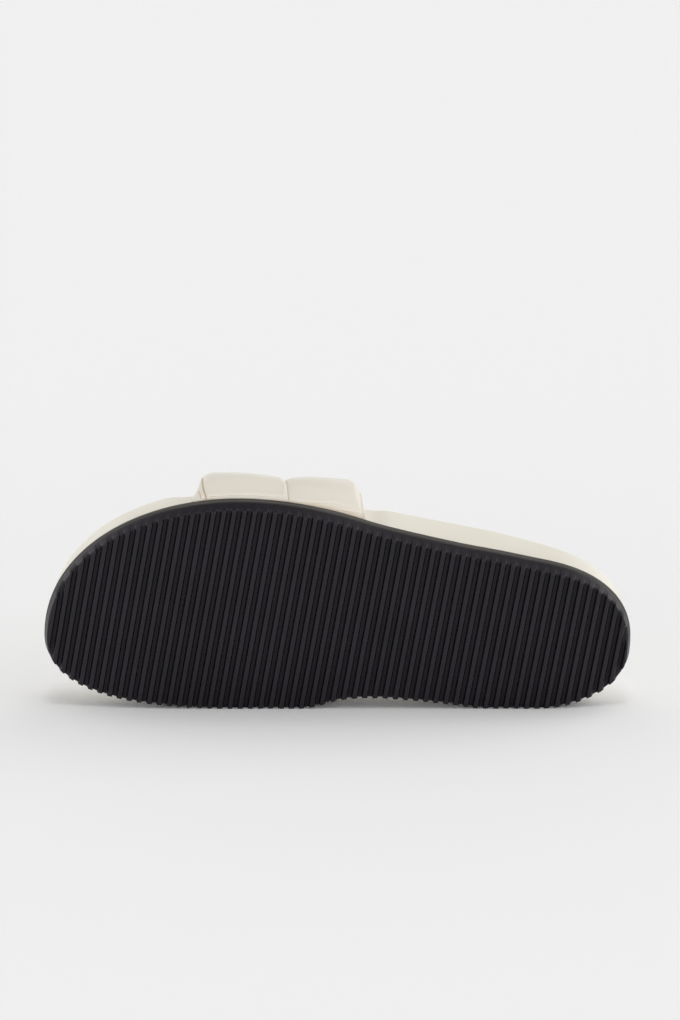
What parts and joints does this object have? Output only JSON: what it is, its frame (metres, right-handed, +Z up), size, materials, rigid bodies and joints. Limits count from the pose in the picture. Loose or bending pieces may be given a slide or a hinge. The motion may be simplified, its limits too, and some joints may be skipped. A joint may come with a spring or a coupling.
{
  "type": "slide sandal",
  "caption": "Left open-toe slide sandal lying on its medial side: black ribbed outsole, cream moulded footbed and one wide padded strap over the foot.",
  "frame": {"origin": "on the floor, under the middle of the lying shoe's bounding box", "axes": "+Z up from the floor towards the shoe's lateral side, +X towards the heel, +Y from the tread towards the strap"},
  "size_m": [0.2592, 0.089, 0.1038],
  "materials": {
    "black_rubber": "matt moulded rubber",
    "cream_wrap": "smooth satin synthetic leather",
    "cream_sock": "soft matt sock leather",
    "cream_padding": "soft satin synthetic leather over padding"
  },
  "bodies": {
    "root": {"outsole": "black_rubber", "footbed": "cream_wrap", "insole": "cream_sock", "upper_strap": "cream_padding"}
  },
  "joints": []
}
